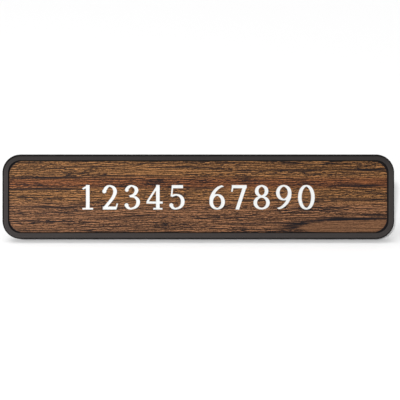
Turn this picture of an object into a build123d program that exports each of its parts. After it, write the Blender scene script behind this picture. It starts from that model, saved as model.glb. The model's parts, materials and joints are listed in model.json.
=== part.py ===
from build123d import *

import os
from math import atan, cos, degrees, radians, sin, tan

# Desk name plate. A two-ply engraved plate sits behind the lip of a moulded frame. A back cover snaps in
# behind it, and two legs swing out of the cover so that the plate leans back on a desk.
# Millimetres. X runs along the plate, Y to the back, Z up. The origin is on the desk, under the middle of
# the part's box. The legs are modelled swung out.

# Engraved plate: a thin wood-print cap on a white core
plate_length = 254.0
plate_height = 50.8
plate_corner_radius = 9.5
cap_thickness = 0.2
core_thickness = 1.4

# Frame
plate_clearance = 0.25  # gap round the plate in its pocket
wall_thickness = 2.3
rim_width = 3.95  # front rim, from the outer edge to the window
rim_bevel_width = 2.4  # outer part of the rim that falls away
rim_bevel_drop = 0.25
rim_edge_radius = 0.9
lip_thickness = 1.2
window_run = 0.5  # how far the window's edge slopes in over the lip's thickness
window_edge_radius = 0.2

# Foam tape strips between the plate and the cover
tape_thickness = 0.8
tape_width = 12.7
tape_end_inset = 13.0  # from the plate's end
tape_side_inset = 5.0  # from the plate's long edge

# Back cover
cover_clearance = 0.2  # gap between the cover and the frame's wall
panel_thickness = 1.6
flange_thickness = 1.6
rib_thickness = 1.4
stiffener_pitch = 15.0
stiffener_gap = 6.0  # between a folded leg and the stiffening ribs
ear_thickness = 2.6  # along the hinge
ear_radius = 1.7  # round the hinge

# Snaps on the frame's wall that hold the cover in
snap_count = 3  # along each long side
snap_leg_gap = 21.0  # from the outermost snap's middle to the hinge
snap_length = 12.0
snap_height = 0.9
snap_reach = 0.45
snap_gap = 0.1

# Legs and their hinges
lean_angle = 20.0
leg_inset = 32.0  # from the plate's end to the hinge
leg_thickness = 2.6
leg_edge_radius = 0.4
leg_stance = 38.0  # along the desk, from the frame's back edge to the heel
leg_heel_height = 8.0
leg_corner_radius = 3.0
leg_arm_width = 6.5  # material left round the leg's window
grip_count = 3  # ribs on the heel's outer face
grip_pitch = 1.7
grip_width = 0.8
grip_length = 4.5
grip_height = 0.4
leg_fold_gap = 0.3  # between a folded leg and the cover's panel
leg_end_gap = 0.3  # between a knuckle and the ear beside it
leg_stop_gap = 0.1  # between an open leg and its stop
knuckle_length = 9.0
knuckle_relief = 1.0  # clear space behind the bare part of the pin
pin_diameter = 1.2
pin_clearance = 0.05  # running gap of a knuckle on its pin
pin_recess = 0.3  # each end of the pin below the cover's outer face
rear_reveal = 0.8  # how far a folded leg stays inside the frame's back edge

# How far a cut runs past the faces it opens
overrun = 1.0

# Depths behind the front of the rim
plate_thickness = cap_thickness + core_thickness
cap_back = lip_thickness + cap_thickness
plate_back = lip_thickness + plate_thickness
panel_front = plate_back + tape_thickness
panel_back = panel_front + panel_thickness
leg_radius = leg_thickness / 2
hinge_depth = panel_back + leg_fold_gap + leg_radius
rib_back = hinge_depth + leg_radius
frame_depth = rib_back + rear_reveal
snap_front = frame_depth - rear_reveal / 2 - snap_height
flange_back = snap_front - snap_gap

# Outlines in the front view and places along it
pocket_length = plate_length + 2 * plate_clearance
pocket_height = plate_height + 2 * plate_clearance
pocket_radius = plate_corner_radius + plate_clearance
frame_length = pocket_length + 2 * wall_thickness
frame_height = pocket_height + 2 * wall_thickness
frame_radius = pocket_radius + wall_thickness
window_length = frame_length - 2 * rim_width
window_height = frame_height - 2 * rim_width
window_radius = frame_radius - rim_width
window_slope = degrees(atan(window_run / lip_thickness))
cover_length = pocket_length - 2 * cover_clearance
cover_height = pocket_height - 2 * cover_clearance
cover_radius = pocket_radius - cover_clearance
tray_length = cover_length - 2 * flange_thickness
tray_height = cover_height - 2 * flange_thickness
tray_radius = cover_radius - flange_thickness
tape_length = plate_length - 2 * tape_end_inset
tape_pitch = plate_height - tape_width - 2 * tape_side_inset
leg_spacing = plate_length - 2 * leg_inset
snap_pitch = (leg_spacing - 2 * snap_leg_gap) / (snap_count - 1)

# The plate's own directions when it leans
lean = radians(lean_angle)
up = Vector(0, sin(lean), cos(lean))
back = Vector(0, cos(lean), -sin(lean))

# The frame's back lower edge stands on the desk, and the part's box is centred over the origin. Its front
# is the rounding of the rim's lower edge, whose centre lies at this depth
rounding_depth = rim_bevel_drop * (1 - rim_edge_radius / rim_bevel_width)
rounding_depth += rim_edge_radius / cos(atan(rim_bevel_drop / rim_bevel_width))
front_reach = (frame_depth - rounding_depth) * cos(lean) + rim_edge_radius * (1 - sin(lean))
rest_edge = Vector(0, (front_reach - leg_stance) / 2, 0)
front_centre = rest_edge + up * (frame_height / 2) - back * frame_depth

# Front view with z out of the rim, side view with x to the back and y up the plate from the resting edge,
# and end view with y to the back from the rim and z up the plate from its middle
face_plane = Plane(origin=front_centre, x_dir=(1, 0, 0), z_dir=-back)
side_plane = Plane(origin=rest_edge, x_dir=back, z_dir=(1, 0, 0))
end_plane = Plane(origin=front_centre, x_dir=(1, 0, 0), z_dir=up)
front_axis = Axis(front_centre, -back)

# Leg outline in the side view, open and with its foot flat on the desk
hinge_line = hinge_depth - frame_depth
leg_low = (frame_height - tray_height) / 2 + ear_thickness + leg_end_gap
leg_high = frame_height - leg_low
leg_length = leg_high - leg_low
toe = (leg_low / tan(lean), leg_low)
heel = (leg_stance * cos(lean), leg_stance * sin(lean))
heel_top = (heel[0] - leg_heel_height * sin(lean), heel[1] + leg_heel_height * cos(lean))
shoulder = (hinge_line + leg_arm_width, leg_high)
leg_outline = [(hinge_line, leg_low), toe, heel, heel_top, shoulder, (hinge_line, leg_high)]
leg_reach = heel[0] - hinge_line
stiffener_length = leg_spacing - 2 * (leg_reach + stiffener_gap)


def at_depth(depth):
    """The front view's plane at a depth behind the front of the rim."""
    return face_plane.offset(-depth)


# Frame: a rounded block with a bevelled rim, a sloped window through its lip and a pocket from behind
with BuildPart() as frame:
    with BuildSketch(at_depth(frame_depth)):
        RectangleRounded(frame_length, frame_height, frame_radius)
    extrude(amount=frame_depth)
    rim_face = frame.faces().sort_by(front_axis)[-1]
    chamfer(rim_face.edges(), length=rim_bevel_width, length2=rim_bevel_drop, reference=rim_face)
    # From the front come the bevel's inner edges, its corner seams and then its outer edges
    fillet(frame.edges().group_by(front_axis)[-3], radius=rim_edge_radius)
    with BuildSketch(face_plane):
        RectangleRounded(window_length, window_height, window_radius)
    extrude(amount=-lip_thickness, taper=window_slope, mode=Mode.SUBTRACT)
    with BuildSketch(at_depth(frame_depth)):
        RectangleRounded(pocket_length, pocket_height, pocket_radius)
    extrude(amount=frame_depth - lip_thickness, mode=Mode.SUBTRACT)
    rim_face = frame.faces().sort_by(front_axis)[-1]
    fillet(rim_face.inner_wires()[0].edges(), radius=window_edge_radius)
    # A lead-in round the mouth of the pocket
    back_face = frame.faces().sort_by(front_axis)[0]
    chamfer(back_face.inner_wires()[0].edges(), length=rear_reveal / 2)
    # Snaps: wedges with a square front and a ramped back, rooted in the long walls
    catch = snap_front - frame_depth
    ramp_end = catch + snap_height
    for index in range(snap_count):
        place = snap_pitch * (index - (snap_count - 1) / 2)
        with BuildSketch(side_plane.offset(place)):
            for root, base in ((0, wall_thickness), (frame_height, frame_height - wall_thickness)):
                inward = 1 if root == 0 else -1
                middle = (root + base) / 2
                tip = base + inward * snap_reach
                with BuildLine():
                    Polyline((catch, middle), (ramp_end, middle), (ramp_end, base), (catch, tip), close=True)
                make_face()
        extrude(amount=snap_length / 2, both=True)

# Cap and core of the plate, bonded face to face
with BuildPart() as plate_face:
    with BuildSketch(at_depth(cap_back)):
        RectangleRounded(plate_length, plate_height, plate_corner_radius)
    extrude(amount=cap_thickness)

with BuildPart() as plate_core:
    with BuildSketch(at_depth(plate_back)):
        RectangleRounded(plate_length, plate_height, plate_corner_radius)
    extrude(amount=core_thickness)


def make_tape(height):
    """A foam strip along the plate, at a height above the plate's middle."""
    with BuildPart() as tape:
        with BuildSketch(at_depth(panel_front)):
            with Locations((0, height)):
                Rectangle(tape_length, tape_width)
        extrude(amount=tape_thickness)
    return tape.part


# Back cover: a panel with a flange round it, stiffening ribs, leg stops and drilled hinge ears
with BuildPart() as back_cover:
    with BuildSketch(at_depth(panel_back)):
        RectangleRounded(cover_length, cover_height, cover_radius)
    extrude(amount=panel_thickness)
    with BuildSketch(at_depth(panel_back)):
        RectangleRounded(cover_length, cover_height, cover_radius)
        RectangleRounded(tray_length, tray_height, tray_radius, mode=Mode.SUBTRACT)
        with GridLocations(0, stiffener_pitch, 1, 2):
            Rectangle(stiffener_length, rib_thickness)
        with GridLocations(stiffener_length - rib_thickness, 0, 2, 1):
            Rectangle(rib_thickness, tray_height + flange_thickness)
    extrude(amount=panel_back - flange_back)
    with BuildSketch(at_depth(panel_back)):
        with GridLocations(leg_spacing + leg_thickness + 2 * leg_stop_gap + rib_thickness, 0, 2, 1):
            Rectangle(rib_thickness, tray_height)
    extrude(amount=panel_back - rib_back)
    # Ears: round-backed lugs that stand on the panel and run out to the flange's outer face
    for end in (-1, 1):
        with BuildSketch(end_plane.offset(end * cover_height / 2)):
            with Locations((-leg_spacing / 2, hinge_depth), (leg_spacing / 2, hinge_depth)):
                Circle(ear_radius)
            with Locations((-leg_spacing / 2, panel_back), (leg_spacing / 2, panel_back)):
                Rectangle(2 * ear_radius, hinge_depth - panel_back, align=(Align.CENTER, Align.MIN))
        extrude(amount=-end * (flange_thickness + ear_thickness))
    with BuildSketch(end_plane):
        with Locations((-leg_spacing / 2, hinge_depth), (leg_spacing / 2, hinge_depth)):
            Circle(pin_diameter / 2)
    extrude(amount=cover_height / 2 + overrun, both=True, mode=Mode.SUBTRACT)


def make_leg(side):
    """A flat wing with a window, two round knuckles on its hinge edge, a bore for the pin and grip ribs."""
    hinge_place = side * leg_spacing / 2
    with BuildPart() as leg:
        with BuildSketch(side_plane.offset(hinge_place)) as wing:
            Polygon(*leg_outline, align=None)
            corners = [wing.vertices().sort_by_distance(corner)[0] for corner in (heel, heel_top, shoulder)]
            fillet(corners[0], radius=leg_corner_radius / 2)
            fillet(corners[1:], radius=leg_corner_radius)
        extrude(amount=leg_radius, both=True)
        with BuildSketch(side_plane.offset(hinge_place)):
            Polygon(*leg_outline, align=None)
            offset(amount=-leg_arm_width - leg_corner_radius, mode=Mode.REPLACE)
            offset(amount=leg_corner_radius, kind=Kind.ARC, mode=Mode.REPLACE)
        extrude(amount=leg_radius + overrun, both=True, mode=Mode.SUBTRACT)
        # Every edge of the two flat sides is rounded, except along the hinge
        flat_sides = leg.faces().filter_by(Axis.X)
        fillet(flat_sides.edges().sort_by(Axis(rest_edge, back))[2:], radius=leg_edge_radius)
        with BuildSketch(end_plane.offset(leg_low - frame_height / 2)):
            with Locations((hinge_place, hinge_depth)):
                Circle(leg_radius)
        extrude(amount=leg_length)
        with BuildSketch(side_plane.offset(hinge_place)):
            with Locations((hinge_line, frame_height / 2)):
                Rectangle(pin_diameter + 2 * knuckle_relief, leg_length - 2 * knuckle_length)
        extrude(amount=leg_radius + overrun, both=True, mode=Mode.SUBTRACT)
        with BuildSketch(end_plane):
            with Locations((hinge_place, hinge_depth)):
                Circle(pin_diameter / 2 + pin_clearance)
        extrude(amount=leg_length / 2 + overrun, both=True, mode=Mode.SUBTRACT)
        with BuildSketch(side_plane.offset(hinge_place + side * leg_radius)):
            for index in range(grip_count):
                along = leg_stance - grip_pitch * (index + 1)
                rise = leg_heel_height / 2
                spot = (along * cos(lean) - rise * sin(lean), along * sin(lean) + rise * cos(lean))
                with Locations(Location((*spot, 0), (0, 0, lean_angle))):
                    Rectangle(grip_width, grip_length)
        extrude(amount=side * grip_height)
    return leg.part


def make_pin(hinge_place):
    """A plain wire that runs through both ears of one hinge."""
    with BuildPart() as pin:
        with BuildSketch(end_plane):
            with Locations((hinge_place, hinge_depth)):
                Circle(pin_diameter / 2)
        extrude(amount=cover_height / 2 - pin_recess, both=True)
    return pin.part


pieces = {
    "frame": frame.part,
    "plate_face": plate_face.part,
    "plate_core": plate_core.part,
    "upper_tape": make_tape(tape_pitch / 2),
    "lower_tape": make_tape(-tape_pitch / 2),
    "back_cover": back_cover.part,
    "left_leg": make_leg(-1),
    "right_leg": make_leg(1),
    "left_hinge_pin": make_pin(-leg_spacing / 2),
    "right_hinge_pin": make_pin(leg_spacing / 2),
}

os.makedirs("parts", exist_ok=True)
for name, piece in pieces.items():
    piece.label = name
    export_step(piece, f"parts/{name}.step")
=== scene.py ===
import json
from math import atan2, pi, radians

import bpy
import numpy as np
from bpy.props import FloatProperty, FloatVectorProperty, PointerProperty, StringProperty
from mathutils import Matrix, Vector
from mathutils.geometry import delaunay_2d_cdt


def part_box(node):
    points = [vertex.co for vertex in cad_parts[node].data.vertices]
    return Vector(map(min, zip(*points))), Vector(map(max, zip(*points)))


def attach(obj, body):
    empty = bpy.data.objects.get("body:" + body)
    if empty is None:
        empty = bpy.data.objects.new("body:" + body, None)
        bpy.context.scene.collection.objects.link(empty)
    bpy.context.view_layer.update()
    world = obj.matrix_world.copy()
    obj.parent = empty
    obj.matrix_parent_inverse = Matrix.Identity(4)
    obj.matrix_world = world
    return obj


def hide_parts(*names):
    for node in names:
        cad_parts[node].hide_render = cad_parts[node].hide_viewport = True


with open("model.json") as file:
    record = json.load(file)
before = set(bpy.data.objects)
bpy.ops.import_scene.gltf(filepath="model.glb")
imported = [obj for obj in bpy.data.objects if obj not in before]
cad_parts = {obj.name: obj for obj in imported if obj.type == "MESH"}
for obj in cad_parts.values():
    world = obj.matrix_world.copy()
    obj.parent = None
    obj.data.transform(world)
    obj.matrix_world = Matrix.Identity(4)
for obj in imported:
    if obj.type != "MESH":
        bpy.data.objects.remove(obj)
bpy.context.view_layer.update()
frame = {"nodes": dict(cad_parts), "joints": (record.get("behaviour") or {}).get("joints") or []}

bl_info = {
    "name": "Desk Name Plate",
    "version": (1, 0, 0),
    "blender": (4, 5, 0),
    "location": "View3D > Sidebar > Name Plate",
    "description": "Dresses the CAD model of a framed, engraved desk name plate",
    "category": "Object",
}

# The CAD box before anything is replaced, and the leaning plate's own directions: along it, up it and out
# of its front. The right leg's hinge runs straight up the plate.
HINGES = {joint["name"]: joint for joint in frame["joints"]}
ALONG = np.array((1.0, 0.0, 0.0))
UP = np.array(HINGES["right_leg_swing"]["axis"], float)
FRONT = np.cross(ALONG, UP)
LEAN = atan2(UP[1], UP[2])
MM = 0.001
PICTURE_WIDTH = 400


def leaning_slab(node):
    """Middle, height and thickness of a flat leaning node, from its upright box.

    A slab of height h and thickness t that leans by the angle a has a box h sin a + t cos a deep and
    h cos a + t sin a high, which is solved for h and t.
    """
    low, high = (np.array(corner, float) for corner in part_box(node))
    _, deep, tall = high - low
    height, thickness = np.linalg.solve([[UP[1], UP[2]], [UP[2], UP[1]]], [deep, tall])
    return (low + high) / 2, height, thickness


PLATE_MIDDLE, PLATE_HEIGHT, PLATE_THICKNESS = leaning_slab("plate_face")
PLATE_LENGTH = float(np.subtract(*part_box("plate_face")[::-1])[0])


def linear(hex_colour):
    """An sRGB hex colour as linear red, green, blue and an alpha of one."""
    srgb = np.array([int(hex_colour[place:place + 2], 16) for place in (1, 3, 5)]) / 255
    levels = np.where(srgb <= 0.04045, srgb / 12.92, ((srgb + 0.055) / 1.055) ** 2.4)
    return (*levels.tolist(), 1.0)


def add_node(tree, kind, inputs=None, stops=(), **settings):
    """Adds one node with its settings. Each input takes a plain value, or the output socket it is linked to.

    Inputs go by name or by place. Those of Map Range are 0 the value, 1 and 2 the range it comes in, and 3
    and 4 the range it goes out in. Those of a colour Mix are 0 the share of the second colour, 6 the first
    colour and 7 the second. Stops are the places and colours of a colour ramp, in order.
    """
    made = tree.nodes.new(kind)
    for name, value in settings.items():
        setattr(made, name, value)
    for place, value in (inputs or {}).items():
        if isinstance(value, bpy.types.NodeSocket):
            tree.links.new(value, made.inputs[place])
        else:
            made.inputs[place].default_value = value
    for index, (place, colour) in enumerate(stops):
        elements = made.color_ramp.elements
        element = elements[index] if index < len(elements) else elements.new(place)
        element.position = place
        element.color = colour
    return made


def new_material(name):
    """An empty node material and its node tree."""
    material = bpy.data.materials.new(name)
    material.use_nodes = True
    material.node_tree.nodes.clear()
    return material, material.node_tree


def finish_surface(tree, shader):
    """Links a shader to the material's output."""
    add_node(tree, "ShaderNodeOutputMaterial", {"Surface": shader.outputs[0]})


def dress(material, *nodes):
    """Puts a material in every slot of some CAD nodes."""
    for node in nodes:
        for slot in frame["nodes"][node].material_slots:
            slot.material = material


# Numerals: each is a list of pen strokes in a box one unit high. A stroke is a centre line and the half
# widths of an upright oval nib, so upright strokes come out broad and level ones fine, as in Roman capitals.

STEM = 0.077
HAIR = 0.036
ARC_POINTS = 40
DOT_POINTS = 28
POINTS_PER_KNOT = 10


def line(*ends):
    """Centre line straight through its points."""
    return np.array(ends, float)


def arc(centre, radii, start, stop):
    """Centre line along an ellipse: centre + radii * (cos t, sin t), with t from start to stop in degrees."""
    turn = np.radians(np.linspace(start, stop, ARC_POINTS))
    return np.array(centre) + np.array(radii) * np.column_stack((np.cos(turn), np.sin(turn)))


def curve(*points):
    """Smooth centre line through its points: a Catmull-Rom cubic between each pair."""
    knots = np.array(points, float)
    knots = np.vstack((2 * knots[0] - knots[1], knots, 2 * knots[-1] - knots[-2]))
    before, first, last, after = knots[:-3, None], knots[1:-2, None], knots[2:-1, None], knots[3:, None]
    t = np.linspace(0, 1, POINTS_PER_KNOT, endpoint=False)[:, None]
    path = first + (last - before) * t / 2
    path = path + (2 * before - 5 * first + 4 * last - after) * t ** 2 / 2
    path = path + (3 * first - before - 3 * last + after) * t ** 3 / 2
    return np.vstack((path.reshape(-1, 2), points[-1]))


def dot(centre, radius):
    """Outline of a round terminal: centre + radius * (cos t, sin t), once round."""
    turn = np.linspace(0, 2 * pi, DOT_POINTS, endpoint=False)
    return np.array(centre) + radius * np.column_stack((np.cos(turn), np.sin(turn)))


def pen_stroke(path, broad=STEM, fine=HAIR):
    """Outline of an oval nib drawn along a path.

    With n the path's unit normal, the nib's edge is at (broad^2 nx, fine^2 ny) / |(broad nx, fine ny)| on
    either side of the centre line.
    """
    ahead = np.gradient(path, axis=0)
    normal = np.column_stack((-ahead[:, 1], ahead[:, 0])) / np.linalg.norm(ahead, axis=1)[:, None]
    nib = np.array((broad, fine))
    reach = normal * nib ** 2 / np.linalg.norm(normal * nib, axis=1)[:, None]
    return np.vstack((path - reach, (path + reach)[::-1]))


def ring(centre, radii):
    """A closed oval stroke as two halves that overlap a little."""
    return [pen_stroke(arc(centre, radii, 86, 274)), pen_stroke(arc(centre, radii, -94, 94))]


def numeral_strokes():
    """Outlines of the strokes of each numeral."""
    six = [
        pen_stroke(curve((0.60, 0.962), (0.43, 0.90), (0.25, 0.73), (0.14, 0.51), (0.12, 0.315))),
        *ring((0.36, 0.315), (0.24, 0.28)),
    ]
    lower_hook = ((0.46, 0.085), (0.29, 0.036), (0.20, 0.058), (0.145, 0.12))
    return {
        "0": ring((0.35, 0.5), (0.265, 0.466)),
        "1": [
            pen_stroke(line((0.36, 0.02), (0.36, 1.0))),
            pen_stroke(line((0.39, 0.955), (0.15, 0.84)), 0.05, HAIR),
            pen_stroke(line((0.14, 0.036), (0.58, 0.036)), STEM, 0.036),
        ],
        "2": [
            pen_stroke(curve((0.15, 0.79), (0.21, 0.90), (0.33, 0.962), (0.50, 0.89), (0.56, 0.71),
                             (0.47, 0.48), (0.30, 0.26), (0.16, 0.09))),
            pen_stroke(line((0.06, 0.062), (0.62, 0.062)), STEM, 0.062),
            pen_stroke(line((0.60, 0.05), (0.655, 0.25)), 0.032, HAIR),
            dot((0.125, 0.745), 0.085),
        ],
        "3": [
            pen_stroke(curve((0.15, 0.855), (0.22, 0.93), (0.33, 0.962), (0.48, 0.89), (0.52, 0.755),
                             (0.43, 0.61), (0.25, 0.535))),
            pen_stroke(curve((0.25, 0.535), (0.45, 0.51), (0.575, 0.39), (0.575, 0.22), *lower_hook)),
            dot((0.13, 0.80), 0.08),
            dot((0.12, 0.175), 0.085),
        ],
        "4": [
            pen_stroke(line((0.47, 0.95), (0.05, 0.305)), 0.045, HAIR),
            pen_stroke(line((0.02, 0.285), (0.68, 0.285)), STEM, 0.045),
            pen_stroke(line((0.48, 0.02), (0.48, 1.0))),
            pen_stroke(line((0.29, 0.036), (0.67, 0.036)), STEM, 0.036),
        ],
        "5": [
            pen_stroke(line((0.135, 0.93), (0.60, 0.93)), STEM, 0.066),
            pen_stroke(line((0.17, 0.94), (0.125, 0.53)), 0.035, HAIR),
            pen_stroke(curve((0.115, 0.54), (0.30, 0.60), (0.47, 0.555), (0.572, 0.41), (0.567, 0.22),
                             *lower_hook)),
            dot((0.12, 0.175), 0.085),
        ],
        "6": six,
        "7": [
            pen_stroke(line((0.045, 0.93), (0.655, 0.93)), STEM, 0.066),
            pen_stroke(line((0.085, 0.94), (0.05, 0.72)), 0.033, HAIR),
            pen_stroke(line((0.565, 0.90), (0.265, 0.0))),
        ],
        "8": [*ring((0.35, 0.752), (0.20, 0.21)), *ring((0.35, 0.278), (0.258, 0.24))],
        "9": [np.array((0.70, 1.0)) - outline for outline in six],
    }


# The sheet: points round each corner, Blender's number for triangles that lie inside an outline, and the
# distance in metres at which two points are one
CORNER_POINTS = 25
INSIDE_OUTLINES = 1
SAME_POINT = 1e-8


def rounded_outline(length, height, radius):
    """A rectangle with round corners: four quarter circles about the corner centres, run anticlockwise."""
    turn = np.radians(np.arange(4)[:, None] * 90 + np.linspace(0, 90, CORNER_POINTS))
    signs = np.array(((1, 1), (-1, 1), (-1, -1), (1, -1)))[:, None]
    centres = signs * (np.array((length, height)) / 2 - radius)
    return (centres + radius * np.stack((np.cos(turn), np.sin(turn)), axis=2)).reshape(-1, 2)


def anticlockwise(outline):
    """The same closed outline with its inside on the left: its shoelace area is made positive."""
    x, y = outline.T
    area = np.sum(x * np.roll(y, -1) - y * np.roll(x, -1))
    return outline if area > 0 else outline[::-1]


def pierced_sheet(name, outline, holes, middle, thickness):
    """A flat sheet in the plate's plane with holes right through it.

    The flat is split into triangles along all outlines, and those in no hole are kept. A point (x, y) of the
    sheet lies at middle + x ALONG + y UP +- thickness / 2 FRONT. Each edge with no neighbour gets a wall.
    """
    outlines = [anticlockwise(shape) for shape in (outline, *holes)]
    stops = np.cumsum([len(shape) for shape in outlines])
    loops = [list(range(stop - len(shape), stop)) for stop, shape in zip(stops, outlines)]
    flat, _, triangles, _, _, owners = delaunay_2d_cdt(
        np.vstack(outlines).tolist(), [], loops, INSIDE_OUTLINES, SAME_POINT)
    triangles = np.array(triangles)[[owner == [0] for owner in owners]]
    used, triangles = np.unique(triangles, return_inverse=True)
    triangles = triangles.reshape(-1, 3)
    flat = np.array([tuple(point) for point in flat])[used]
    count = len(flat)
    sheet = middle + flat[:, :1] * ALONG + flat[:, 1:] * UP
    points = np.vstack((sheet + FRONT * thickness / 2, sheet - FRONT * thickness / 2))
    edges = np.vstack((triangles[:, (0, 1)], triangles[:, (1, 2)], triangles[:, (2, 0)]))
    open_edges = edges[~np.isin(edges @ (count, 1), edges @ (1, count))]
    walls = np.column_stack((open_edges[:, ::-1], open_edges + count))
    mesh = bpy.data.meshes.new(name)
    mesh.from_pydata(points.tolist(), [], [*triangles.tolist(), *(triangles[:, ::-1] + count).tolist(),
                                           *walls.tolist()])
    piece = bpy.data.objects.new(name, mesh)
    bpy.context.scene.collection.objects.link(piece)
    return piece


def plate_coordinates(tree):
    """Millimetres along the plate, up it and out of its front, from the plate's middle."""
    where = add_node(tree, "ShaderNodeTexCoord")
    place = -np.array((ALONG @ PLATE_MIDDLE, UP @ PLATE_MIDDLE, FRONT @ PLATE_MIDDLE)) / MM
    return add_node(tree, "ShaderNodeMapping", {
        "Vector": where.outputs["Object"],
        "Scale": (1 / MM, 1 / MM, 1 / MM),
        "Rotation": (LEAN - pi / 2, 0, 0),
        "Location": tuple(place),
    }).outputs[0]


def clouds(tree, grain, length, width, seed):
    """Soft marks about so many millimetres long and wide, with levels from 0 to 1."""
    spread = add_node(tree, "ShaderNodeVectorMath", {
        0: grain, 1: (1 / length, 1 / width, 0), 2: (0, 0, seed)}, operation="MULTIPLY_ADD")
    return add_node(tree, "ShaderNodeTexNoise", {
        "Vector": spread.outputs[0], "Scale": 1.0, "Detail": 1.0}).outputs[0]


def fibres(tree, grain, length, width, seed):
    """Narrow cells about so many millimetres long and wide, each with one level of its own from 0 to 1."""
    spread = add_node(tree, "ShaderNodeVectorMath", {
        0: grain, 1: (1 / length, 1 / width, 0), 2: (seed, 7.3 * seed, 0)}, operation="MULTIPLY_ADD")
    return add_node(tree, "ShaderNodeTexVoronoi", {
        "Vector": spread.outputs[0], "Scale": 1.0}, voronoi_dimensions="2D").outputs["Color"]


# From a hair to the ones above and below that it is set against, in millimetres
HAIR_STEP = 0.66


def hairs(tree, grain, length, width, seed):
    """Fibres less the mean of those a step above and below them, so that a dark hair lies between pale ones.

    The levels run from -1 to 1, and most of them from -0.5 to 0.5.
    """
    around = 0.0
    for rise in (HAIR_STEP, -HAIR_STEP):
        moved = add_node(tree, "ShaderNodeVectorMath", {0: grain, 1: (0, rise, 0)}, operation="ADD")
        beside = fibres(tree, moved.outputs[0], length, width, seed)
        around = add_node(tree, "ShaderNodeMath", {0: around, 1: beside}, operation="ADD").outputs[0]
    return add_node(tree, "ShaderNodeMath", {
        0: around, 1: -0.5, 2: fibres(tree, grain, length, width, seed)}, operation="MULTIPLY_ADD").outputs[0]


def oval_patch(tree, plate, middle, reach, inner, outer):
    """One inside an oval of that reach about its middle and nought outside, fading from inner to outer."""
    scale = np.array((1 / reach[0], 1 / reach[1], 0))
    centred = add_node(tree, "ShaderNodeVectorMath", {
        0: plate, 1: tuple(scale), 2: tuple(-scale * (*middle, 0))}, operation="MULTIPLY_ADD")
    out = add_node(tree, "ShaderNodeVectorMath", {0: centred.outputs[0]}, operation="LENGTH")
    return add_node(tree, "ShaderNodeMapRange", {
        0: out.outputs["Value"], 1: inner, 2: outer, 3: 1.0, 4: 0.0,
    }, interpolation_type="SMOOTHSTEP").outputs[0]


# Outlines about the plate: how far past its left, lower, right and upper edge each runs, the radius of its
# corners, and the width over which it fades, in millimetres. The frame's texture stops short of the outer
# edge, most of all at the top. Painted shade of the frame's lip darkens the print outside the second
# outline, in the corners of the window and along its right edge.
TEXTURED = (1.50, 2.05, 2.05, 1.25, 11.25, 0.3)
LIP_SHADE_OUTLINE = (-1.90, -1.90, -2.25, -1.90, 9.40, 0.3)
# Painted shade darkens the top of the frame's rim by fading its texture: heights on the plate where that
# starts and where it is greatest, in millimetres, and the share of the texture that is left there
TOP_RIM_SHADE = (14.0, 27.0, 0.64)


def beyond_outline(tree, plate, left, below, right, above, corner, fade):
    """Nought inside a rectangle with round corners and one outside it.

    The rectangle is all that lies within one corner radius of a smaller rectangle.
    """
    high = np.array((PLATE_LENGTH, PLATE_HEIGHT)) / MM / 2
    low = -high - (left, below)
    high = high + (right, above)
    centred = add_node(tree, "ShaderNodeVectorMath", {
        0: plate, 1: (1, 1, 0), 2: (*-(low + high) / 2, 0)}, operation="MULTIPLY_ADD")
    folded = add_node(tree, "ShaderNodeVectorMath", {0: centred.outputs[0]}, operation="ABSOLUTE")
    outside = add_node(tree, "ShaderNodeVectorMath", {
        0: folded.outputs[0], 1: (*(high - low) / 2 - corner, 0)}, operation="SUBTRACT")
    nearest = add_node(tree, "ShaderNodeVectorMath", {
        0: outside.outputs[0], 1: (0, 0, 0)}, operation="MAXIMUM")
    far = add_node(tree, "ShaderNodeVectorMath", {0: nearest.outputs[0]}, operation="LENGTH")
    return add_node(tree, "ShaderNodeMapRange", {
        0: far.outputs["Value"], 1: corner - fade / 2, 2: corner + fade / 2}).outputs[0]


# The wood print, in millimetres along and up the plate from its middle

# Waves in the grain: length, width, rise, seed
WAVES = (
    (120, 22, 2.2, 3.1),
    (42, 9, 1.2, 7.4),
    (16, 4, 0.5, 1.7),
)
# Bands: share of the plate's height and tint
BANDS = (
    (0.00, "brown"),
    (0.36, "brown"),
    (0.50, "honey"),
    (0.58, "honey"),
    (0.64, "russet"),
    (0.71, "russet"),
    (0.78, "honey"),
    (1.00, "honey"),
)
# Darker and lighter patches: middle along and up, reach along and up, level
PATCHES = (
    (86, 18.5, 56, 3.6, 0.50),
    (-112, 18.5, 24, 4.5, 0.62),
    (-68, 14.4, 30, 2.6, 1.30),
    (-100, 9.0, 36, 3.5, 1.15),
    (-100, -14.0, 34, 11.0, 1.12),
    (106, -7.2, 26, 4.4, 1.32),
    (85, -8.4, 12, 2.8, 1.35),
    (104, 4.4, 28, 3.0, 0.68),
    (-21, -19.5, 15, 5.0, 0.55),
    (104, 10.5, 30, 3.5, 1.15),
    (15, 11.4, 24, 2.2, 1.14),
)
# Clouds: length, width, lowest and highest level, seed
CLOUDS = (
    (60, 8, 0.90, 1.08, 2.0),
    (90, 1.0, 0.80, 1.18, 5.0),
)
# Flecks: length, width, lowest and highest level, seed
FLECKS = (
    (0.7, 0.5, 0.40, 1.45, 21.0),
)
# Hairs: length, width, lowest and highest level, seed
HAIRS = (
    (13, 0.45, 0.00, 2.05, 43.0),
    (2, 0.45, 0.35, 1.50, 41.0),
)
# The palest level that patches, clouds, flecks and hairs come to together, and how softly they reach it
PALEST = 1.35
PALEST_FADE = 0.6
# Pores, which are the darkest of other hairs: length and seed. Their ink starts at one level and is full at
# the other.
PORES = (
    (12, 4.0),
    (5, 6.0),
    (2.5, 17.0),
)
PORE_WIDTH = 0.45
PORE_START = -0.15
PORE_FULL = -0.27
PORE_INK = 0.95
# What breaks up the pores, the growth lines and the flame's edge: length, width, seed
ROWS = (50, 3.0, 11.0)
STREAKS = (14, 0.5, 31.0)
WISPS = (20, 0.6, 37.0)
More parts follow.
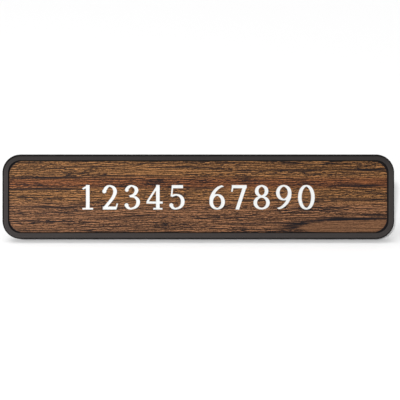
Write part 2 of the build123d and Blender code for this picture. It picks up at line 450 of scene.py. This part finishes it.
# Growth lines: middle along and up, half length, half thickness
GROWTH_LINES = (
    (-99, 12.8, 30, 0.70),
    (-38, 13.4, 34, 0.40),
    (31, 13.4, 14, 0.45),
    (-106, 5.2, 30, 0.90),
    (-52, 6.4, 26, 0.45),
    (-4, 5.8, 22, 0.50),
    (104, 7.2, 25, 0.95),
    (-101, -6.6, 28, 0.55),
    (105, -1.8, 25, 1.00),
    (40, -2.6, 26, 0.50),
    (63, 17.8, 24, 0.80),
    (112, 18.2, 16, 0.75),
    (-12, 19.6, 30, 0.60),
    (-72, 20.2, 26, 0.50),
    (-62, -14.6, 24, 0.40),
    (28, -18.0, 22, 0.45),
    (56, -17.4, 16, 0.45),
    (84, -14.0, 22, 0.65),
    (114, -11.8, 15, 0.65),
)
# The flame: middle, reach of its smooth tongue, reach of the dark streaks round it, the share of the dark
# marks that is left on it, and the share of its own even tint
FLAME_MIDDLE = (108, -20.5)
FLAME_REACH = (42, 4.9)
FLAME_EDGE_REACH = (62, 8.2)
FLAME_INK = 0.25
FLAME_TINT = 0.5


def wavy_grain(tree, plate):
    """Plate coordinates pushed up and down by slow waves, which the grain follows."""
    grain = plate
    for length, width, rise, seed in WAVES:
        wave = add_node(tree, "ShaderNodeMath", {
            0: clouds(tree, plate, length, width, seed), 1: rise, 2: -rise / 2}, operation="MULTIPLY_ADD")
        push = add_node(tree, "ShaderNodeCombineXYZ", {1: wave.outputs[0]})
        grain = add_node(tree, "ShaderNodeVectorMath", {
            0: grain, 1: push.outputs[0]}, operation="ADD").outputs[0]
    return grain


def wood_tone(tree, plate, grain, colours):
    """Bands of tint up the plate, times the levels of patches, clouds, flecks and hairs up to the palest."""
    height = add_node(tree, "ShaderNodeSeparateXYZ", {0: grain}).outputs[1]
    share = add_node(tree, "ShaderNodeMapRange", {
        0: height, 1: -PLATE_HEIGHT / MM / 2, 2: PLATE_HEIGHT / MM / 2})
    stops = [(place, getattr(colours, tint)) for place, tint in BANDS]
    colour = add_node(tree, "ShaderNodeValToRGB", {0: share.outputs[0]}, stops).outputs[0]
    patterns = [(oval_patch(tree, plate, (x, y), (reach_x, reach_y), inner=0.2, outer=1.2), 0, 1, 1, level)
                for x, y, reach_x, reach_y, level in PATCHES]
    patterns += [(clouds(tree, grain, length, width, seed), 0.3, 0.7, low, high)
                 for length, width, low, high, seed in CLOUDS]
    patterns += [(fibres(tree, grain, length, width, seed), 0.15, 0.85, low, high)
                 for length, width, low, high, seed in FLECKS]
    patterns += [(hairs(tree, grain, length, width, seed), -0.5, 0.5, low, high)
                 for length, width, low, high, seed in HAIRS]
    product = 1.0
    for pattern, start, stop, low, high in patterns:
        level = add_node(tree, "ShaderNodeMapRange", {0: pattern, 1: start, 2: stop, 3: low, 4: high})
        product = add_node(tree, "ShaderNodeMath", {
            0: product, 1: level.outputs[0]}, operation="MULTIPLY").outputs[0]
    level = add_node(tree, "ShaderNodeMath", {
        0: product, 1: PALEST, 2: PALEST_FADE}, operation="SMOOTH_MIN")
    return add_node(tree, "ShaderNodeVectorMath", {
        0: colour, "Scale": level.outputs[0]}, operation="SCALE").outputs[0]


def wood_ink(tree, grain, flame):
    """The most of three kinds of dark mark, from 0 to 1, and little of any of them on the flame.

    The marks are pores, which gather in rows, growth lines, and streaks round the flame.
    """
    rows = add_node(tree, "ShaderNodeMapRange", {
        0: clouds(tree, grain, *ROWS), 1: 0.36, 2: 0.60, 3: 0.40, 4: 1.0})
    streaks = add_node(tree, "ShaderNodeMapRange", {
        0: fibres(tree, grain, *STREAKS), 1: 0.3, 2: 0.8, 3: 1.0, 4: 0.7})
    wisps = add_node(tree, "ShaderNodeMapRange", {
        0: fibres(tree, grain, *WISPS), 1: 0.3, 2: 0.6, 3: 1.0, 4: 0.3})
    marks = []
    for length, seed in PORES:
        pores = add_node(tree, "ShaderNodeMapRange", {
            0: hairs(tree, grain, length, PORE_WIDTH, seed),
            1: PORE_FULL, 2: PORE_START, 3: PORE_INK, 4: 0.0})
        marks.append((pores.outputs[0], rows))
    for x, y, half_length, half_thickness in GROWTH_LINES:
        line_mark = oval_patch(tree, grain, (x, y), (half_length, half_thickness), inner=0.6, outer=1.2)
        marks.append((line_mark, streaks))
    marks.append((oval_patch(tree, grain, FLAME_MIDDLE, FLAME_EDGE_REACH, inner=0.78, outer=1.0), wisps))
    most = 0.0
    for mark, part in marks:
        inked = add_node(tree, "ShaderNodeMath", {0: mark, 1: part.outputs[0]}, operation="MULTIPLY")
        most = add_node(tree, "ShaderNodeMath", {
            0: most, 1: inked.outputs[0]}, operation="MAXIMUM").outputs[0]
    clear = add_node(tree, "ShaderNodeMapRange", {0: flame, 3: 1.0, 4: FLAME_INK})
    return add_node(tree, "ShaderNodeMath", {0: most, 1: clear.outputs[0]}, operation="MULTIPLY").outputs[0]


def walnut_print(colours):
    """Walnut-print melamine cap.

    Printed flat-sawn walnut under a satin film: honey and russet bands along the plate, dark growth lines,
    fine hairs, short dark pores and one smooth flame at the lower right, all under an even low gloss. Painted
    shade of the frame's lip darkens the corners of the window and the right edge. The printed hairs are about
    0.2 mm wide, too fine to show, so they are drawn at 0.45 mm.
    """
    material, tree = new_material("walnut_print_satin_laminate")
    plate = plate_coordinates(tree)
    grain = wavy_grain(tree, plate)
    colour = wood_tone(tree, plate, grain, colours)
    flame = oval_patch(tree, plate, FLAME_MIDDLE, FLAME_REACH, inner=0.9, outer=1.04)
    # Painted shade: the ink colour darkens the print in the window's corners and along its right edge, under
    # the lip
    lip_shade = beyond_outline(tree, plate, *LIP_SHADE_OUTLINE)
    ink = add_node(tree, "ShaderNodeMath", {
        0: wood_ink(tree, grain, flame), 1: lip_shade}, operation="MAXIMUM").outputs[0]
    calm = add_node(tree, "ShaderNodeMath", {0: flame, 1: FLAME_TINT}, operation="MULTIPLY")
    colour = add_node(tree, "ShaderNodeMix", {
        0: calm.outputs[0], 6: colour, 7: colours.flame}, data_type="RGBA").outputs[2]
    colour = add_node(tree, "ShaderNodeMix", {0: ink, 6: colour, 7: colours.ink}, data_type="RGBA").outputs[2]
    bump = add_node(tree, "ShaderNodeBump", {
        "Strength": 0.2, "Distance": 0.02 * MM, "Height": ink}, invert=True)
    gloss = add_node(tree, "ShaderNodeMapRange", {0: ink, 3: 0.46, 4: 0.58})
    finish_surface(tree, add_node(tree, "ShaderNodeBsdfPrincipled", {
        "Base Color": colour, "Roughness": gloss.outputs[0], "IOR": 1.5, "Specular IOR Level": 0.12,
        "Normal": bump.outputs[0]}))
    return material


def desk_scuffs(tree, where, colour, colours):
    """A colour rubbed paler in specks over the lowest 1.5 mm, where the part slides on the desk."""
    height = add_node(tree, "ShaderNodeSeparateXYZ", {0: where}).outputs[2]
    low = add_node(tree, "ShaderNodeMapRange", {0: height, 1: 0.2 * MM, 2: 1.5 * MM, 3: 1.0, 4: 0.0})
    specks = add_node(tree, "ShaderNodeTexNoise", {"Vector": where, "Scale": 1 / (1.2 * MM), "Detail": 4.0})
    rubbed = add_node(tree, "ShaderNodeMapRange", {0: specks.outputs[0], 1: 0.45, 2: 0.65, 3: 0.0, 4: 0.6})
    amount = add_node(tree, "ShaderNodeMath", {0: low.outputs[0], 1: rubbed.outputs[0]}, operation="MULTIPLY")
    return add_node(tree, "ShaderNodeMix", {
        0: amount.outputs[0], 6: colour, 7: colours.scuff}, data_type="RGBA").outputs[2]


# Cosine of a face's angle to the front: the texture comes in over the first range, which leaves out the
# rounded edges, and the plain sides go out over the second
TEXTURE_FACING = (0.955, 0.99)
SIDE_FACING = (0.1, 0.3)


def frame_abs(colours):
    """Moulded black ABS with a textured front.

    Spark-eroded tool texture on the show face gives a dull charcoal. The edges round it came off polished
    steel and are a deeper black, and the sides and back are plain. The top of the rim is darker, as painted
    shade. The real grain is about 0.05 mm, too fine to show, so it is drawn at 0.5 mm.
    """
    material, tree = new_material("matt_moulded_black_abs")
    where = add_node(tree, "ShaderNodeTexCoord")
    grain = add_node(tree, "ShaderNodeTexNoise", {
        "Vector": where.outputs["Object"], "Scale": 1 / (0.5 * MM), "Detail": 3.0}).outputs[0]
    facing = add_node(tree, "ShaderNodeVectorMath", {
        0: where.outputs["Normal"], 1: tuple(FRONT)}, operation="DOT_PRODUCT").outputs["Value"]
    flat = add_node(tree, "ShaderNodeMapRange", {
        0: facing, 1: TEXTURE_FACING[0], 2: TEXTURE_FACING[1]}).outputs[0]
    plate = plate_coordinates(tree)
    plain = beyond_outline(tree, plate, *TEXTURED)
    show = add_node(tree, "ShaderNodeMath", {
        0: flat, 1: plain}, operation="SUBTRACT", use_clamp=True).outputs[0]
    # Painted shade: towards the top the rim's texture gives way to the darker edge colour
    height = add_node(tree, "ShaderNodeSeparateXYZ", {0: plate}).outputs[1]
    start, stop, left = TOP_RIM_SHADE
    texture = add_node(tree, "ShaderNodeMapRange", {0: height, 1: start, 2: stop, 3: 1.0, 4: left})
    show = add_node(tree, "ShaderNodeMath", {
        0: show, 1: texture.outputs[0]}, operation="MULTIPLY").outputs[0]
    side = add_node(tree, "ShaderNodeMapRange", {
        0: facing, 1: SIDE_FACING[0], 2: SIDE_FACING[1], 3: 1.0, 4: 0.0}).outputs[0]
    colour = add_node(tree, "ShaderNodeMix", {
        0: show, 6: colours.edge, 7: colours.rim}, data_type="RGBA").outputs[2]
    colour = add_node(tree, "ShaderNodeMix", {
        0: side, 6: colour, 7: colours.inner}, data_type="RGBA").outputs[2]
    tint = add_node(tree, "ShaderNodeMapRange", {0: grain, 1: 0.3, 2: 0.7, 3: 0.9, 4: 1.1})
    colour = add_node(tree, "ShaderNodeVectorMath", {
        0: colour, "Scale": tint.outputs[0]}, operation="SCALE").outputs[0]
    colour = desk_scuffs(tree, where.outputs["Object"], colour, colours)
    dull = add_node(tree, "ShaderNodeMapRange", {0: show, 3: 0.6, 4: 0.7})
    bump = add_node(tree, "ShaderNodeBump", {"Strength": 0.15, "Distance": 0.03 * MM, "Height": grain})
    finish_surface(tree, add_node(tree, "ShaderNodeBsdfPrincipled", {
        "Base Color": colour, "Roughness": dull.outputs[0], "IOR": 1.53, "Specular IOR Level": 0.06,
        "Normal": bump.outputs[0]}))
    return material


def back_abs(colours):
    """Plain moulded black ABS.

    Semi-matt black straight from the tool, with cloudy flow marks and a fine pebbled grain. The real grain is
    about 0.05 mm, too fine to show, so it is drawn at 0.8 mm.
    """
    material, tree = new_material("plain_moulded_black_abs")
    where = add_node(tree, "ShaderNodeTexCoord").outputs["Object"]
    grain = add_node(tree, "ShaderNodeTexNoise", {
        "Vector": where, "Scale": 1 / (0.8 * MM), "Detail": 3.0}).outputs[0]
    flow = add_node(tree, "ShaderNodeTexNoise", {
        "Vector": where, "Scale": 1 / (25 * MM), "Detail": 2.0}).outputs[0]
    colour = colours.inner[:3]
    for pattern, spread in ((grain, 0.25), (flow, 0.18)):
        tint = add_node(tree, "ShaderNodeMapRange", {
            0: pattern, 1: 0.3, 2: 0.7, 3: 1 - spread, 4: 1 + spread})
        colour = add_node(tree, "ShaderNodeVectorMath", {
            0: colour, "Scale": tint.outputs[0]}, operation="SCALE").outputs[0]
    colour = desk_scuffs(tree, where, colour, colours)
    dull = add_node(tree, "ShaderNodeMapRange", {0: flow, 1: 0.3, 2: 0.7, 3: 0.4, 4: 0.52})
    bump = add_node(tree, "ShaderNodeBump", {"Strength": 0.3, "Distance": 0.05 * MM, "Height": grain})
    finish_surface(tree, add_node(tree, "ShaderNodeBsdfPrincipled", {
        "Base Color": colour, "Roughness": dull.outputs[0], "IOR": 1.53, "Normal": bump.outputs[0]}))
    return material


def engraving_core(colours):
    """White acrylic engraving core.

    Milled bare by the engraving cutter, which leaves faint level tool marks in an even soft white.
    """
    material, tree = new_material("white_acrylic_engraving_core")
    marks = clouds(tree, plate_coordinates(tree), 30, 0.3, 0.0)
    level = add_node(tree, "ShaderNodeMapRange", {0: marks, 1: 0.3, 2: 0.7, 3: 0.95, 4: 1.0})
    colour = add_node(tree, "ShaderNodeVectorMath", {
        0: colours.core[:3], "Scale": level.outputs[0]}, operation="SCALE")
    bump = add_node(tree, "ShaderNodeBump", {"Strength": 0.15, "Distance": 0.02 * MM, "Height": marks})
    finish_surface(tree, add_node(tree, "ShaderNodeBsdfPrincipled", {
        "Base Color": colour.outputs[0], "Roughness": 0.6, "IOR": 1.49, "Normal": bump.outputs[0]}))
    return material


def foam_tape(colours):
    """White closed-cell foam tape, whose cut cells make it matt and pitted."""
    material, tree = new_material("white_closed_cell_foam_tape")
    where = add_node(tree, "ShaderNodeTexCoord").outputs["Object"]
    cells = add_node(tree, "ShaderNodeTexVoronoi", {
        "Vector": where, "Scale": 1 / (0.4 * MM)}).outputs["Distance"]
    level = add_node(tree, "ShaderNodeMapRange", {0: cells, 1: 0.0, 2: 0.6, 3: 0.65, 4: 1.0})
    colour = add_node(tree, "ShaderNodeVectorMath", {
        0: colours.tape[:3], "Scale": level.outputs[0]}, operation="SCALE")
    bump = add_node(tree, "ShaderNodeBump", {"Strength": 0.5, "Distance": 0.1 * MM, "Height": cells})
    finish_surface(tree, add_node(tree, "ShaderNodeBsdfPrincipled", {
        "Base Color": colour.outputs[0], "Roughness": 0.9, "Normal": bump.outputs[0]}))
    return material


def drawn_wire(colours):
    """Bright drawn steel wire, with fine scratches along it from the die."""
    material, tree = new_material("bright_drawn_steel_wire")
    spread = add_node(tree, "ShaderNodeVectorMath", {
        0: plate_coordinates(tree), 1: (1 / 0.12, 1 / 9, 1 / 0.12)}, operation="MULTIPLY")
    scratches = add_node(tree, "ShaderNodeTexNoise", {
        "Vector": spread.outputs[0], "Scale": 1.0, "Detail": 2.0}).outputs[0]
    level = add_node(tree, "ShaderNodeMapRange", {0: scratches, 1: 0.3, 2: 0.7, 3: 0.65, 4: 1.0})
    colour = add_node(tree, "ShaderNodeVectorMath", {
        0: colours.wire[:3], "Scale": level.outputs[0]}, operation="SCALE")
    dull = add_node(tree, "ShaderNodeMapRange", {0: scratches, 1: 0.3, 2: 0.7, 3: 0.22, 4: 0.4})
    finish_surface(tree, add_node(tree, "ShaderNodeBsdfPrincipled", {
        "Base Color": colour.outputs[0], "Metallic": 1.0, "Roughness": dull.outputs[0]}))
    return material


def eye_rays(tree):
    """One for rays from the camera, straight or by way of a gloss or glass, and nought for others."""
    path = add_node(tree, "ShaderNodeLightPath")
    gloss = add_node(tree, "ShaderNodeMath", {
        0: path.outputs["Is Glossy Ray"], 1: path.outputs["Is Transmission Ray"]}, operation="MAXIMUM")
    return add_node(tree, "ShaderNodeMath", {
        0: path.outputs["Is Camera Ray"], 1: gloss.outputs[0]}, operation="MAXIMUM").outputs[0]


class NamePlateSizes(bpy.types.PropertyGroup):
    """What is engraved on the plate, and how large."""

    numerals: StringProperty(
        name="Numerals", description="Plain numerals to engrave, with a space between groups",
        default="12345 67890")
    numeral_height: FloatProperty(
        name="Numeral Height", description="Height of the engraved numerals", unit="LENGTH",
        default=16.3 * MM)
    numeral_pitch: FloatProperty(
        name="Numeral Pitch", description="From one numeral to the next", unit="LENGTH",
        default=14.8 * MM)
    group_gap: FloatProperty(
        name="Group Gap", description="Width of a space between groups", unit="LENGTH",
        default=11.6 * MM)
    numeral_rise: FloatProperty(
        name="Numeral Rise", description="Middle of the numerals above the plate's middle", unit="LENGTH",
        default=-0.4 * MM)
    corner_radius: FloatProperty(
        name="Corner Radius", description="Radius of the plate's corners", unit="LENGTH",
        default=9.5 * MM)


class NamePlateColours(bpy.types.PropertyGroup):
    """Colours of the plate, its frame and what holds them up."""

    honey: FloatVectorProperty(
        name="Honey", description="Palest bands of the wood print", subtype="COLOR", size=4,
        default=linear("#9C6D43"))
    brown: FloatVectorProperty(
        name="Brown", description="Lower half of the wood print", subtype="COLOR", size=4,
        default=linear("#916546"))
    russet: FloatVectorProperty(
        name="Russet", description="Redder band of the wood print", subtype="COLOR", size=4,
        default=linear("#8B5635"))
    flame: FloatVectorProperty(
        name="Flame", description="Smooth tongue in the wood print", subtype="COLOR", size=4,
        default=linear("#77543B"))
    # The ink colour is also used for the painted lip shade in the window's corners
    ink: FloatVectorProperty(
        name="Ink", description="Pores and growth lines of the wood print", subtype="COLOR", size=4,
        default=linear("#151216"))
    rim: FloatVectorProperty(
        name="Rim", description="Textured front of the frame", subtype="COLOR", size=4,
        default=linear("#3E3A39"))
    # The edge colour is also what the painted shade on the top of the rim turns to
    edge: FloatVectorProperty(
        name="Edge", description="Polished edges of the frame's front", subtype="COLOR", size=4,
        default=linear("#161413"))
    inner: FloatVectorProperty(
        name="Inner", description="Back cover, legs, and the frame's sides", subtype="COLOR", size=4,
        default=linear("#302D2B"))
    scuff: FloatVectorProperty(
        name="Scuff", description="Plastic that the desk has rubbed", subtype="COLOR", size=4,
        default=linear("#6A6663"))
    core: FloatVectorProperty(
        name="Core", description="White layer that the engraving lays bare", subtype="COLOR", size=4,
        default=linear("#EDEFEE"))
    tape: FloatVectorProperty(
        name="Tape", description="Foam tape behind the plate", subtype="COLOR", size=4,
        default=linear("#E4E2DB"))
    wire: FloatVectorProperty(
        name="Wire", description="Hinge pins", subtype="COLOR", size=4,
        default=linear("#CFCECB"))


class NamePlateStage(bpy.types.PropertyGroup):
    """Camera, floor and lamps."""

    lens: FloatProperty(
        name="Lens", description="Focal length in millimetres", subtype="DISTANCE_CAMERA", default=100.0)
    pixel_size: FloatProperty(
        name="Pixel Size", description="Size of one of 400 pixels on the plate's front", unit="LENGTH",
        default=0.6616 * MM)
    frame_shift: FloatVectorProperty(
        name="Frame Shift", description="Pixels from the picture's middle right and up to the plate's middle",
        size=2, default=(-1.70, 3.3))
    ambient: FloatProperty(
        name="Ambient", description="Strength of the even white light all round", default=0.4)
    key_power: FloatProperty(
        name="Key Power", description="Power of the soft lamp at the front left", unit="POWER", default=6.9)
    top_strength: FloatProperty(
        name="Top Strength", description="Strength of the broad light overhead", default=1.2)
    floor_strength: FloatProperty(
        name="Floor Strength", description="Strength of the small lamp that lights the floor alone",
        default=3.0)
    floor_colour: FloatVectorProperty(
        name="Floor Colour", description="Paper under the name plate", subtype="COLOR", size=4,
        default=linear("#EAEAEA"))


# The stage: half the floor's width, where the lamps stand and how large they look, and the camera's sensor.
# Lengths are in metres, apart from the sensor's in millimetres.
FLOOR_REACH = 6.0
KEY_PLACE = (-0.70, -0.80, 0.28)
KEY_SIZE = 0.6
TOP_PLACE = (-0.25, 0.10, 1.0)
TOP_ANGLE = radians(60)
FLOOR_LAMP_PLACE = PLATE_MIDDLE + FRONT - 0.20 * ALONG + 0.10 * UP
FLOOR_LAMP_ANGLE = radians(2.4)
SENSOR_WIDTH = 36.0
FARTHEST_SEEN = 50.0


class NAMEPLATE_OT_engraved_cap(bpy.types.Operator):
    """Make the wood-print cap with the numerals cut through it"""

    bl_idname = "name_plate.engraved_cap"
    bl_label = "Engraved Cap"

    def execute(self, context):
        sizes = context.scene.name_plate_sizes
        strokes = numeral_strokes()
        steps = [sizes.group_gap if mark == " " else sizes.numeral_pitch for mark in sizes.numerals]
        starts = np.concatenate(([0.0], np.cumsum(steps)[:-1]))
        holes = [(start, 0) + outline * sizes.numeral_height for mark, start in zip(sizes.numerals, starts)
                 if mark != " " for outline in strokes[mark]]
        drawn = np.vstack(holes)
        middle = (drawn.min(axis=0) + drawn.max(axis=0)) / 2 - (0, sizes.numeral_rise)
        holes = [outline - middle for outline in holes]
        outline = rounded_outline(PLATE_LENGTH, PLATE_HEIGHT, sizes.corner_radius)
        cap = pierced_sheet("engraved_cap", outline, holes, PLATE_MIDDLE, PLATE_THICKNESS)
        cap.data.materials.append(walnut_print(context.scene.name_plate_colours))
        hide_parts("plate_face")
        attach(cap, "holder")
        return {"FINISHED"}


class NAMEPLATE_OT_plate_backing(bpy.types.Operator):
    """Finish the white core behind the cap and the foam tape behind that"""

    bl_idname = "name_plate.plate_backing"
    bl_label = "Plate Backing"

    def execute(self, context):
        colours = context.scene.name_plate_colours
        dress(engraving_core(colours), "plate_core")
        dress(foam_tape(colours), "upper_tape", "lower_tape")
        return {"FINISHED"}


class NAMEPLATE_OT_mouldings(bpy.types.Operator):
    """Finish the moulded frame, back cover and legs"""

    bl_idname = "name_plate.mouldings"
    bl_label = "Mouldings"

    def execute(self, context):
        colours = context.scene.name_plate_colours
        dress(frame_abs(colours), "frame")
        dress(back_abs(colours), "back_cover", "left_leg", "right_leg")
        return {"FINISHED"}


class NAMEPLATE_OT_hinge_pins(bpy.types.Operator):
    """Finish the wires the legs turn on"""

    bl_idname = "name_plate.hinge_pins"
    bl_label = "Hinge Pins"

    def execute(self, context):
        dress(drawn_wire(context.scene.name_plate_colours), "left_hinge_pin", "right_hinge_pin")
        return {"FINISHED"}


class NAMEPLATE_OT_stage(bpy.types.Operator):
    """Set the floor, the lamps and the camera"""

    bl_idname = "name_plate.stage"
    bl_label = "Stage"

    def execute(self, context):
        scene = context.scene
        stage = scene.name_plate_stage
        scene.view_settings.view_transform = "Standard"
        floor = self.lay_floor(scene, stage)
        self.light(scene, stage, floor)
        self.aim_camera(scene, stage)
        return {"FINISHED"}

    def lay_floor(self, scene, stage):
        """A level floor of matt white paper."""
        corners = FLOOR_REACH * np.array(((-1, -1, 0), (1, -1, 0), (1, 1, 0), (-1, 1, 0)))
        mesh = bpy.data.meshes.new("floor")
        mesh.from_pydata(corners.tolist(), [], [(0, 1, 2, 3)])
        floor = bpy.data.objects.new("floor", mesh)
        scene.collection.objects.link(floor)
        material, tree = new_material("white_paper_floor")
        finish_surface(tree, add_node(tree, "ShaderNodeBsdfDiffuse", {"Color": stage.floor_colour}))
        mesh.materials.append(material)
        return floor

    def light(self, scene, stage, floor):
        """Even white light all round, a soft lamp at the front left, a broad light overhead and a floor lamp.

        The floor lamp stands a little left of the camera and above it, lights the floor alone, and throws the
        narrow shadow to the right.
        """
        world = bpy.data.worlds.new("white_studio")
        scene.world = world
        world.use_nodes = True
        tree = world.node_tree
        tree.nodes.clear()
        level = add_node(tree, "ShaderNodeMapRange", {0: eye_rays(tree), 3: stage.ambient, 4: 1.0})
        glow = add_node(tree, "ShaderNodeBackground", {"Color": (1, 1, 1, 1), "Strength": level.outputs[0]})
        add_node(tree, "ShaderNodeOutputWorld", {"Surface": glow.outputs[0]})
        self.add_lamp(scene, "key", "AREA", KEY_PLACE, energy=stage.key_power, shape="DISK", size=KEY_SIZE)
        self.add_lamp(scene, "top", "SUN", TOP_PLACE, energy=stage.top_strength, angle=TOP_ANGLE)
        floor_lamp = self.add_lamp(
            scene, "floor_lamp", "SUN", FLOOR_LAMP_PLACE, energy=stage.floor_strength, angle=FLOOR_LAMP_ANGLE)
        lit_alone = bpy.data.collections.new("lit_by_floor_lamp")
        lit_alone.objects.link(floor)
        floor_lamp.light_linking.receiver_collection = lit_alone

    def add_lamp(self, scene, name, kind, place, **settings):
        """A lamp that shines on the plate's middle."""
        data = bpy.data.lights.new(name, kind)
        for setting, value in settings.items():
            setattr(data, setting, value)
        lamp = bpy.data.objects.new(name, data)
        scene.collection.objects.link(lamp)
        away = np.array(place) - PLATE_MIDDLE
        self.point(lamp, place, away / np.linalg.norm(away), (0.0, 1.0, 0.0))
        return lamp

    def aim_camera(self, scene, stage):
        """A long lens square on to the plate's front, moved to put the plate where the photo has it."""
        data = bpy.data.cameras.new("camera")
        data.lens = stage.lens
        data.sensor_width = SENSOR_WIDTH
        data.clip_end = FARTHEST_SEEN
        camera = bpy.data.objects.new("camera", data)
        scene.collection.objects.link(camera)
        scene.camera = camera
        right, rise = stage.frame_shift
        distance = PICTURE_WIDTH * stage.pixel_size * stage.lens / SENSOR_WIDTH
        aim = PLATE_MIDDLE - (ALONG * right + UP * rise) * stage.pixel_size
        self.point(camera, aim + FRONT * distance, FRONT, UP)

    def point(self, thing, place, away, up):
        """Places a lamp or camera whose back is turned to the direction away."""
        across = np.cross(up, away)
        across = across / np.linalg.norm(across)
        turned = np.eye(4)
        turned[:3, :3] = np.column_stack((across, np.cross(away, across), away))
        turned[:3, 3] = place
        thing.matrix_world = Matrix(turned.tolist())


class NAMEPLATE_PT_sidebar(bpy.types.Panel):
    """Lists the sizes, the colours and the steps that dress the name plate"""

    bl_idname = "NAMEPLATE_PT_sidebar"
    bl_label = "Name Plate"
    bl_space_type = "VIEW_3D"
    bl_region_type = "UI"
    bl_category = "Name Plate"

    def draw(self, context):
        for group in GROUPS:
            settings = getattr(context.scene, group)
            for name in GROUPS[group].__annotations__:
                self.layout.prop(settings, name)
        for operator in OPERATORS:
            self.layout.operator(operator.bl_idname)


GROUPS = {
    "name_plate_sizes": NamePlateSizes,
    "name_plate_colours": NamePlateColours,
    "name_plate_stage": NamePlateStage,
}
OPERATORS = (
    NAMEPLATE_OT_engraved_cap,
    NAMEPLATE_OT_plate_backing,
    NAMEPLATE_OT_mouldings,
    NAMEPLATE_OT_hinge_pins,
    NAMEPLATE_OT_stage,
)
CLASSES = (*GROUPS.values(), *OPERATORS, NAMEPLATE_PT_sidebar)


def register():
    for made in CLASSES:
        bpy.utils.register_class(made)
    for name, group in GROUPS.items():
        setattr(bpy.types.Scene, name, PointerProperty(type=group))


def unregister():
    for name in GROUPS:
        delattr(bpy.types.Scene, name)
    for made in reversed(CLASSES):
        bpy.utils.unregister_class(made)


def main():
    register()
    bpy.ops.name_plate.engraved_cap()
    bpy.ops.name_plate.plate_backing()
    bpy.ops.name_plate.mouldings()
    bpy.ops.name_plate.hinge_pins()
    bpy.ops.name_plate.stage()


if __name__ == "__main__":
    main()
